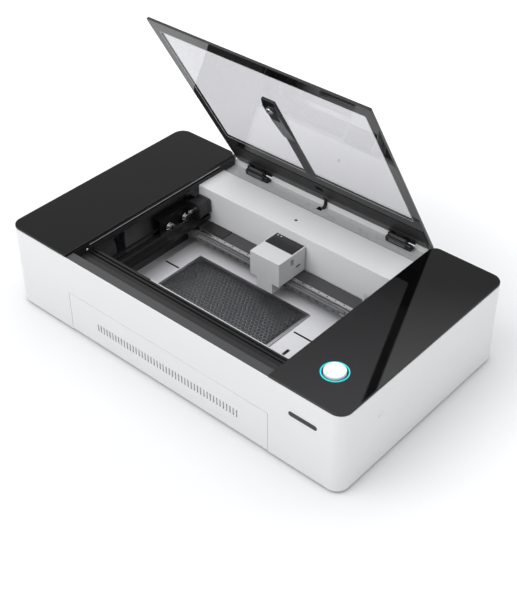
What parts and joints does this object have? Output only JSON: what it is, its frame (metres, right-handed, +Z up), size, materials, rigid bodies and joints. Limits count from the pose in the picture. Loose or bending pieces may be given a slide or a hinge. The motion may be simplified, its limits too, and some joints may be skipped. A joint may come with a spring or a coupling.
{
  "type": "desktop laser cutter",
  "caption": "Low white laser cutter with black side decks, a hinged glass lid with a camera, a vented bed drawer, a belt-driven gantry and a rear exhaust duct.",
  "frame": {"origin": "middle of the overall box's bottom face, at the soles of the feet", "axes": "+Z up, the drawer front faces -Y, +X towards the start button"},
  "size_m": [1, 0.614, 0.7059],
  "materials": {
    "white_case": "satin powder coat",
    "white_inner": "fine-textured powder coat",
    "black_deck": "polished black sheet",
    "black_glass": "black border printed under polished glass",
    "clear_glass": "polished, lightly grey",
    "tube_glass": "clear blown glass",
    "black_metal": "satin black powder coat",
    "head_white": "fine-textured moulding",
    "black_aluminium": "black anodised",
    "grey_metal": "satin dark grey",
    "aluminium": "bead-blasted and clear anodised",
    "steel": "ground steel",
    "black_plastic": "fine moulded texture",
    "rubber": "moulded rubber",
    "light_ring": "lit translucent plastic",
    "button_white": "smooth moulded plastic",
    "tank_plastic": "milky translucent plastic",
    "electronics": "plain metal-grey case"
  },
  "bodies": {
    "case": {"casing": "white_case", "rear_panel": "white_case", "base_plate": "white_case", "rear_ledge": "white_inner", "tube_cover": "white_inner", "deck_left": "black_deck", "deck_right": "black_deck", "laser_tube": "tube_glass", "skirt_left": "black_metal", "skirt_right": "black_metal", "inner_wall_left": "black_metal", "inner_wall_right": "black_metal", "y_motor": "black_metal", "front_crossbar": "black_aluminium", "hinge_base_left": "black_aluminium", "hinge_base_right": "black_aluminium", "rail_left": "black_aluminium", "rail_right": "black_aluminium", "front_lip": "grey_metal", "front_liner": "grey_metal", "air_pump": "black_plastic", "exhaust_duct": "black_plastic", "power_inlet": "black_plastic", "foot_front_left": "rubber", "foot_front_right": "rubber", "foot_rear_left": "rubber", "foot_rear_right": "rubber", "button_ring": "light_ring", "coolant_tank": "tank_plastic", "power_supply": "electronics"},
    "lid": {"lid_frame": "black_glass", "lid_pane": "clear_glass", "lid_rear_bar": "black_aluminium", "camera_strip": "black_plastic", "camera_housing": "black_plastic", "hinge_arm_left": "black_aluminium", "hinge_arm_right": "black_aluminium"},
    "drawer": {"drawer_front": "white_case", "drawer_tray": "white_inner", "honeycomb_bed": "aluminium"},
    "gantry": {"carriage_left": "black_aluminium", "carriage_right": "aluminium", "gantry_beam": "aluminium", "head_rail": "steel", "x_motor": "black_metal"},
    "head": {"head_housing": "head_white"},
    "lens": {"lens_tube": "aluminium"},
    "roller_lf": {"roller_left_front": "steel"},
    "roller_lr": {"roller_left_rear": "steel"},
    "roller_rf": {"roller_right_front": "steel"},
    "roller_rr": {"roller_right_rear": "steel"},
    "idler_left": {"y_idler_left": "steel"},
    "idler_right": {"y_idler_right": "steel"},
    "drive_shaft": {"y_drive_shaft": "steel"},
    "x_pulley": {"x_drive_pulley": "steel"},
    "x_idler": {"x_idler_pulley": "steel"},
    "start_button": {"button_cap": "button_white"},
    "fan": {"fan_rotor": "black_plastic"},
    "rocker": {"power_rocker": "black_plastic"}
  },
  "joints": [
    {"name": "lid_hinge", "type": "hinge", "parent": "case", "child": "lid", "pos_m": [0, 0.2626, 0.2024], "axis": [1, 0, 0], "range_deg": [0, 60]},
    {"name": "drawer_slide", "type": "slide", "parent": "case", "child": "drawer", "axis": [0, -1, 0], "range_m": [0, 0.3]},
    {"name": "gantry_y", "type": "slide", "parent": "case", "child": "gantry", "axis": [0, -1, 0], "range_m": [0, 0.248]},
    {"name": "head_x", "type": "slide", "parent": "gantry", "child": "head", "axis": [1, 0, 0], "range_m": [-0.205, 0.185]},
    {"name": "focus_z", "type": "slide", "parent": "head", "child": "lens", "axis": [0, 0, 1], "range_m": [-0.01, 0.012]},
    {"name": "roller_lf_spin", "type": "hinge", "parent": "gantry", "child": "roller_lf", "pos_m": [-0.292, 0.017, 0.1384], "axis": [1, 0, 0], "range_deg": [-5, 1697]},
    {"name": "roller_lr_spin", "type": "hinge", "parent": "gantry", "child": "roller_lr", "pos_m": [-0.292, 0.073, 0.1384], "axis": [1, 0, 0], "range_deg": [-5, 1697]},
    {"name": "roller_rf_spin", "type": "hinge", "parent": "gantry", "child": "roller_rf", "pos_m": [0.292, 0.017, 0.1384], "axis": [1, 0, 0], "range_deg": [-5, 1697]},
    {"name": "roller_rr_spin", "type": "hinge", "parent": "gantry", "child": "roller_rr", "pos_m": [0.292, 0.073, 0.1384], "axis": [1, 0, 0], "range_deg": [-5, 1697]},
    {"name": "idler_left_spin", "type": "hinge", "parent": "case", "child": "idler_left", "pos_m": [-0.322, -0.291, 0.118], "axis": [1, 0, 0], "range_deg": [-5, 1926]},
    {"name": "idler_right_spin", "type": "hinge", "parent": "case", "child": "idler_right", "pos_m": [0.322, -0.291, 0.118], "axis": [1, 0, 0], "range_deg": [-5, 1926]},
    {"name": "drive_shaft_spin", "type": "hinge", "parent": "case", "child": "drive_shaft", "pos_m": [0, 0.235, 0.118], "axis": [1, 0, 0], "range_deg": [-5, 2226]},
    {"name": "x_pulley_spin", "type": "hinge", "parent": "gantry", "child": "x_pulley", "pos_m": [-0.284, 0.083, 0.154], "axis": [0, 1, 0], "range_deg": [-1841, 1662]},
    {"name": "x_idler_spin", "type": "hinge", "parent": "gantry", "child": "x_idler", "pos_m": [0.262, 0.084, 0.154], "axis": [0, 1, 0], "range_deg": [-1841, 1662]},
    {"name": "button_press", "type": "slide", "parent": "case", "child": "start_button", "axis": [0, 0, -1], "range_m": [0, 0.0035], "stiffness_N_per_m": 400, "springref_m": -0.003},
    {"name": "fan_spin", "type": "hinge", "parent": "case", "child": "fan", "pos_m": [-0.15, 0.255, 0.1], "axis": [0, 1, 0], "continuous": true},
    {"name": "power_switch", "type": "hinge", "parent": "case", "child": "rocker", "pos_m": [0.354, 0.27, 0.095], "axis": [1, 0, 0], "range_deg": [0, 22]}
  ],
  "couplings": [
    {"joint": "roller_lf_spin", "follows": "gantry_y", "rad_per_m": 119.05},
    {"joint": "roller_lr_spin", "follows": "gantry_y", "rad_per_m": 119.05},
    {"joint": "roller_rf_spin", "follows": "gantry_y", "rad_per_m": 119.05},
    {"joint": "roller_rr_spin", "follows": "gantry_y", "rad_per_m": 119.05},
    {"joint": "idler_left_spin", "follows": "gantry_y", "rad_per_m": 135.14},
    {"joint": "idler_right_spin", "follows": "gantry_y", "rad_per_m": 135.14},
    {"joint": "drive_shaft_spin", "follows": "gantry_y", "rad_per_m": 156.25},
    {"joint": "x_pulley_spin", "follows": "head_x", "rad_per_m": 156.25},
    {"joint": "x_idler_spin", "follows": "head_x", "rad_per_m": 156.25}
  ]
}
